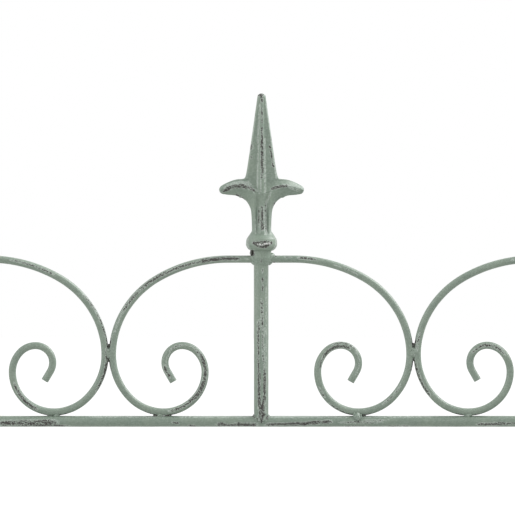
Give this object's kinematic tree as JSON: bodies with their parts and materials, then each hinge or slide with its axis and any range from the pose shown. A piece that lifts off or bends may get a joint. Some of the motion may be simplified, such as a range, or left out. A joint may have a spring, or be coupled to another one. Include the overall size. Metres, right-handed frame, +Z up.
{
  "type": "garden fence panel",
  "caption": "Low garden fence panel: round uprights with cast spear heads and pairs of curled scrolls along one bottom rail.",
  "frame": {"origin": "middle of the left leg's flat foot, at ground level under the first upright", "axes": "+X along the rail, +Z up, the fence's front towards -Y"},
  "size_m": [1.998, 0.0344, 0.4001],
  "materials": {
    "wrought_bar": "satin grey-green paint over forged round bar, rubbed through to dark rusty iron in places",
    "cast_spear_head": "satin grey-green paint over cast iron, rubbed through on the ridges",
    "weld_metal": "satin grey-green paint over lumpy weld metal"
  },
  "bodies": {
    "root": {"bottom_rail": "wrought_bar", "leg_left": "wrought_bar", "leg_right": "wrought_bar", "scroll_1_left": "wrought_bar", "scroll_1_right": "wrought_bar", "scroll_2_left": "wrought_bar", "scroll_2_right": "wrought_bar", "scroll_3_left": "wrought_bar", "scroll_3_right": "wrought_bar", "scroll_4_left": "wrought_bar", "scroll_4_right": "wrought_bar", "scroll_5_left": "wrought_bar", "scroll_5_right": "wrought_bar", "scroll_6_left": "wrought_bar", "scroll_6_right": "wrought_bar", "spear_head_1": "cast_spear_head", "spear_head_2": "cast_spear_head", "spear_head_3": "cast_spear_head", "spear_head_4": "cast_spear_head", "spear_head_5": "cast_spear_head", "spear_head_6": "cast_spear_head", "upright_1": "wrought_bar", "upright_2": "wrought_bar", "upright_3": "wrought_bar", "upright_4": "wrought_bar", "upright_5": "wrought_bar", "upright_6": "wrought_bar", "weld_beads_1": "weld_metal", "weld_beads_2": "weld_metal", "weld_beads_3": "weld_metal", "weld_beads_4": "weld_metal", "weld_beads_5": "weld_metal", "weld_beads_6": "weld_metal"}
  },
  "joints": []
}
